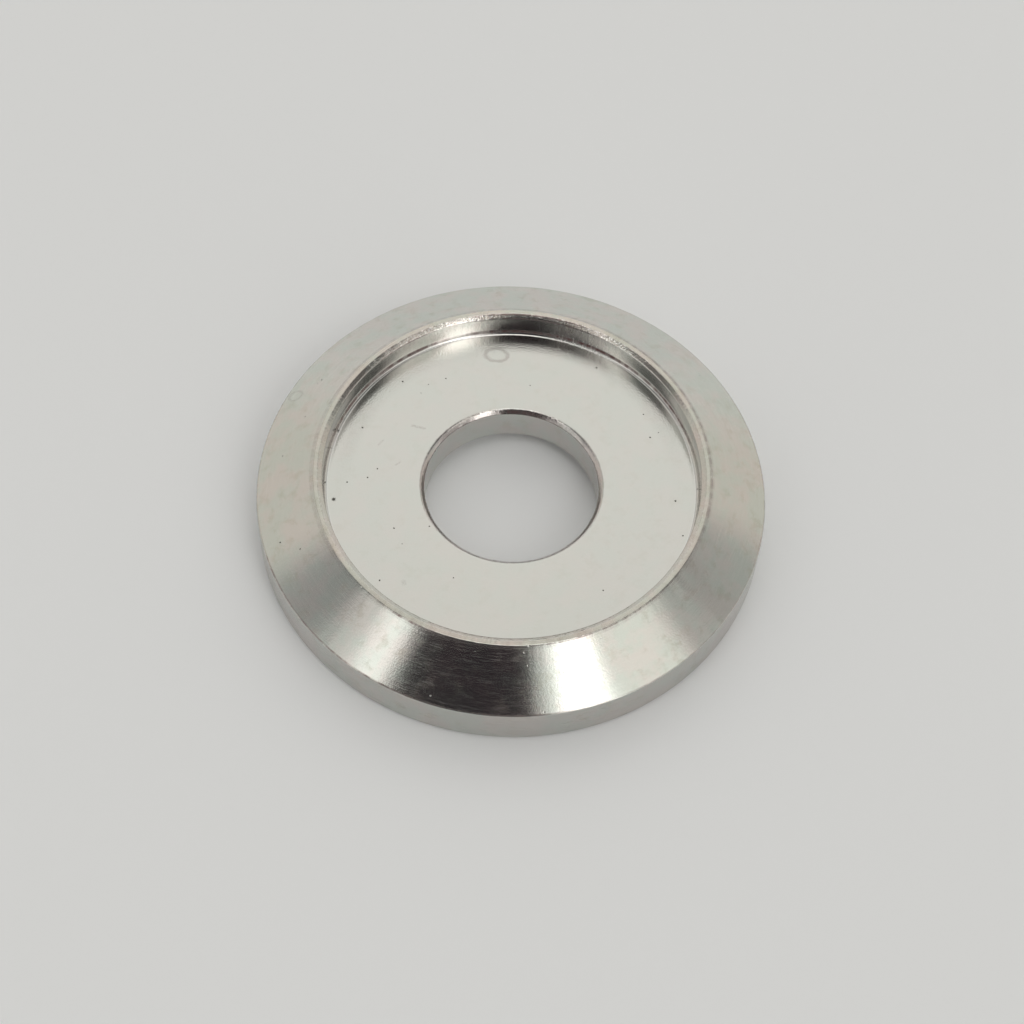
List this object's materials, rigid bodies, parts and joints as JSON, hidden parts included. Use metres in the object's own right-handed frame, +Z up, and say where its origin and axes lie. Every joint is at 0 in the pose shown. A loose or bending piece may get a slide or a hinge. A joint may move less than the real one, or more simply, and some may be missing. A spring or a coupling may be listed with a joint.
{
  "type": "fender washer",
  "caption": "Round turned washer with a bevelled outer edge, a central bolt hole and a shallow round recess on top that takes a bolt head.",
  "frame": {"origin": "centre of the flat underside, where the bolt's axis crosses it", "axes": "+Z up the bolt's axis, from the underside towards the recess; X and Y are free, as the washer is round"},
  "size_m": [0.019, 0.019, 0.003],
  "materials": {
    "nickel_plate": "satin nickel plate over turned steel"
  },
  "bodies": {
    "root": {"washer": "nickel_plate"}
  },
  "joints": []
}
